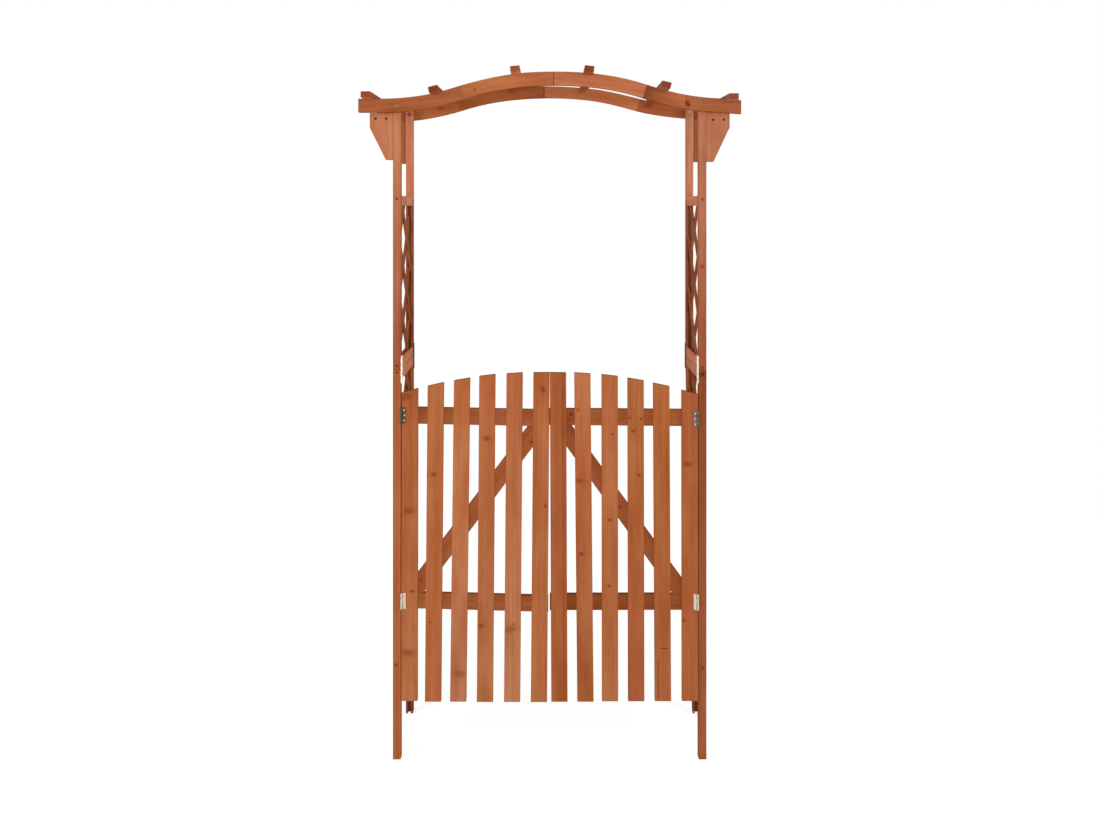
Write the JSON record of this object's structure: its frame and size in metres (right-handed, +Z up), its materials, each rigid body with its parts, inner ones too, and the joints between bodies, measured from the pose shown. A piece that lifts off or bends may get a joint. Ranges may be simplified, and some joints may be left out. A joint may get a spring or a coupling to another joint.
{
  "type": "garden arch with gate",
  "caption": "Garden arch of grooved wooden posts with lattice sides, curved beams, cross battens and a pair of hinged picket gates with a curved top.",
  "frame": {"origin": "on the ground at the centre of the arch, midway between its four feet", "axes": "+Z up, +X to the right of someone who faces the gates, -Y towards them: the gates hang on the front posts and face -Y"},
  "size_m": [1.121, 0.4, 2.0351],
  "materials": {
    "stained_fir": "satin",
    "stained_fir_dark": "satin",
    "zinc": "satin"
  },
  "bodies": {
    "frame": {"front_left_lower_post": "stained_fir", "front_right_lower_post": "stained_fir", "rear_left_lower_post": "stained_fir", "rear_right_lower_post": "stained_fir", "front_left_upper_post": "stained_fir", "front_right_upper_post": "stained_fir", "rear_left_upper_post": "stained_fir", "rear_right_upper_post": "stained_fir", "left_panel_top_rails": "stained_fir", "right_panel_top_rails": "stained_fir", "left_panel_bottom_rails": "stained_fir", "right_panel_bottom_rails": "stained_fir", "left_lower_lattice": "stained_fir_dark", "right_lower_lattice": "stained_fir_dark", "left_upper_lattice": "stained_fir_dark", "right_upper_lattice": "stained_fir_dark", "front_left_beam": "stained_fir", "front_right_beam": "stained_fir", "rear_left_beam": "stained_fir", "rear_right_beam": "stained_fir", "front_left_bracket": "stained_fir", "front_right_bracket": "stained_fir", "rear_left_bracket": "stained_fir", "rear_right_bracket": "stained_fir", "left_end_batten": "stained_fir_dark", "left_outer_batten": "stained_fir_dark", "left_inner_batten": "stained_fir_dark", "right_inner_batten": "stained_fir_dark", "right_outer_batten": "stained_fir_dark", "right_end_batten": "stained_fir_dark", "joint_plates": "zinc", "beam_bolts": "zinc", "left_post_hinges": "zinc", "right_post_hinges": "zinc"},
    "left_gate": {"left_gate_pickets": "stained_fir", "left_gate_top_rail": "stained_fir_dark", "left_gate_bottom_rail": "stained_fir_dark", "left_gate_brace": "stained_fir_dark", "left_gate_hinges": "zinc"},
    "right_gate": {"right_gate_pickets": "stained_fir", "right_gate_top_rail": "stained_fir_dark", "right_gate_bottom_rail": "stained_fir_dark", "right_gate_brace": "stained_fir_dark", "right_gate_hinges": "zinc"}
  },
  "joints": [
    {"name": "left_gate_hinge", "type": "hinge", "parent": "frame", "child": "left_gate", "pos_m": [-0.4365, -0.133, 0.74], "axis": [0, 0, -1], "range_deg": [0, 110]},
    {"name": "right_gate_hinge", "type": "hinge", "parent": "frame", "child": "right_gate", "pos_m": [0.4365, -0.133, 0.74], "axis": [0, 0, 1], "range_deg": [0, 110]}
  ]
}
